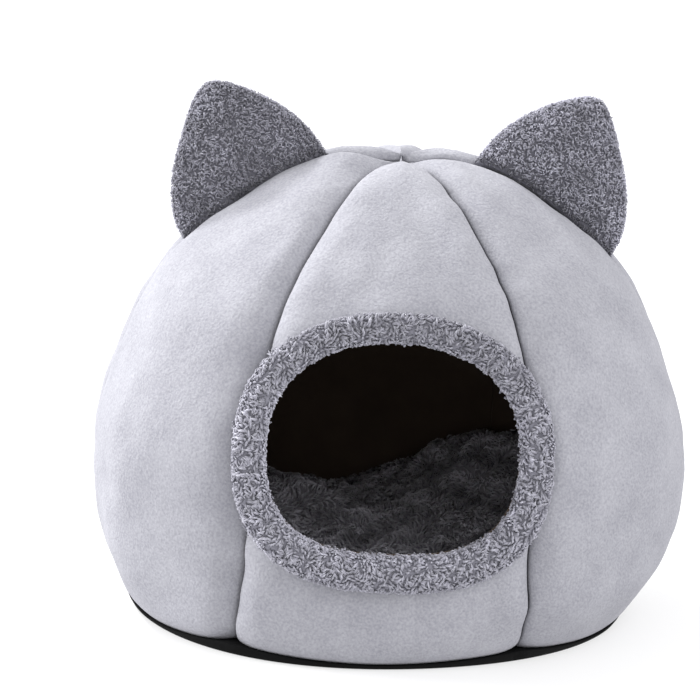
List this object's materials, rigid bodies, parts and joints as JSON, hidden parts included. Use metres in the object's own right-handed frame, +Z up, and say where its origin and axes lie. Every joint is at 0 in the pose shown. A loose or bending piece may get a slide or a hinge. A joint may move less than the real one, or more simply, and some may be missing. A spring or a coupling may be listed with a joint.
{
  "type": "foldable cat house",
  "caption": "Padded dome-shaped cat house with cat ears, a plush-edged oval door, a dark inner cloth, a filled floor cushion and a black base cloth.",
  "frame": {"origin": "middle of the flat underside of the base cloth, below the point where the floor's middle line stands", "axes": "+X towards the right ear as seen from the front, -Y out of the door, +Z up"},
  "size_m": [0.3984, 0.3821, 0.3498],
  "materials": {
    "suede": "light blue-grey brushed micro-suede over foam padding",
    "plush": "mid grey curly short plush with light tips",
    "dark_plush": "dark grey curly plush with light flecks",
    "short_plush": "grey short plush",
    "lining": "very dark brown soft woven cloth",
    "cushion_plush": "dark grey mottled plush over a soft filling",
    "non_slip": "black non-slip base cloth"
  },
  "bodies": {
    "root": {"panel_front": "suede", "panel_front_right": "suede", "panel_back_right": "suede", "panel_back": "suede", "panel_back_left": "suede", "panel_front_left": "suede", "lining_front": "lining", "lining_front_right": "lining", "lining_back_right": "lining", "lining_back": "lining", "lining_back_left": "lining", "lining_front_left": "lining", "door_band": "plush", "ear_right_front": "dark_plush", "ear_left_front": "dark_plush", "ear_right_back": "short_plush", "ear_left_back": "short_plush", "base": "non_slip", "cushion": "cushion_plush"}
  },
  "joints": []
}
